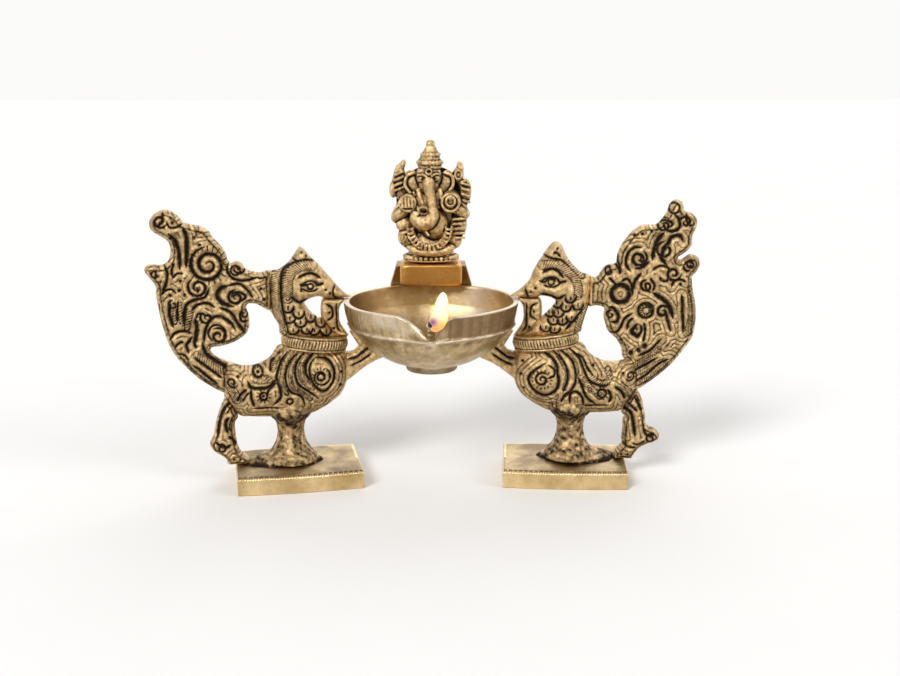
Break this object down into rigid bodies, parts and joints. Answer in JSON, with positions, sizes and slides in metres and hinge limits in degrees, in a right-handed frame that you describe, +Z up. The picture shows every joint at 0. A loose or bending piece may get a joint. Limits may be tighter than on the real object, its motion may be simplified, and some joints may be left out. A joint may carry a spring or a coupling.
{
  "type": "oil lamp",
  "caption": "Cast brass oil lamp: a spouted open bowl held between facing peacocks on slab bases, with a seated elephant-headed figure on a plinth behind it and a cotton wick.",
  "frame": {"origin": "on the table, under the middle of the lamp's overall box, close to the bowl's axis", "axes": "+Z up, +X to the viewer's right along the line of the two birds, +Y to the back, the spout facing -Y"},
  "size_m": [0.1817, 0.0699, 0.1122],
  "materials": {
    "base_brass": "satin cast brass, worn pale",
    "screw_brass": "dull brass",
    "bird_brass": "antique cast brass, dark in the grooves",
    "bowl_brass": "smooth cast brass, handled bright",
    "plinth_brass": "warm polished brass",
    "cotton": "twisted cotton, charred at the lit end"
  },
  "bodies": {
    "lamp": {"bowl": "bowl_brass", "figure": "bird_brass", "figure_bracket": "bird_brass", "figure_plinth": "plinth_brass", "figure_screw": "screw_brass", "left_arm_pin": "bird_brass", "left_base": "base_brass", "left_beak_strut": "bird_brass", "left_body": "bird_brass", "left_chest_arm": "bird_brass", "left_collar": "bird_brass", "left_foot_screw": "screw_brass", "left_leg_plume": "bird_brass", "left_neck_head": "bird_brass", "left_tail_fan": "bird_brass", "right_arm_pin": "bird_brass", "right_base": "base_brass", "right_beak_strut": "bird_brass", "right_body": "bird_brass", "right_chest_arm": "bird_brass", "right_collar": "bird_brass", "right_foot_screw": "screw_brass", "right_leg_plume": "bird_brass", "right_neck_head": "bird_brass", "right_tail_fan": "bird_brass"},
    "wick": {"wick": "cotton"}
  },
  "joints": [
    {"name": "wick_draw", "type": "slide", "parent": "lamp", "child": "wick", "axis": [0, -0.866, 0.5], "range_m": [0, 0.018]}
  ]
}
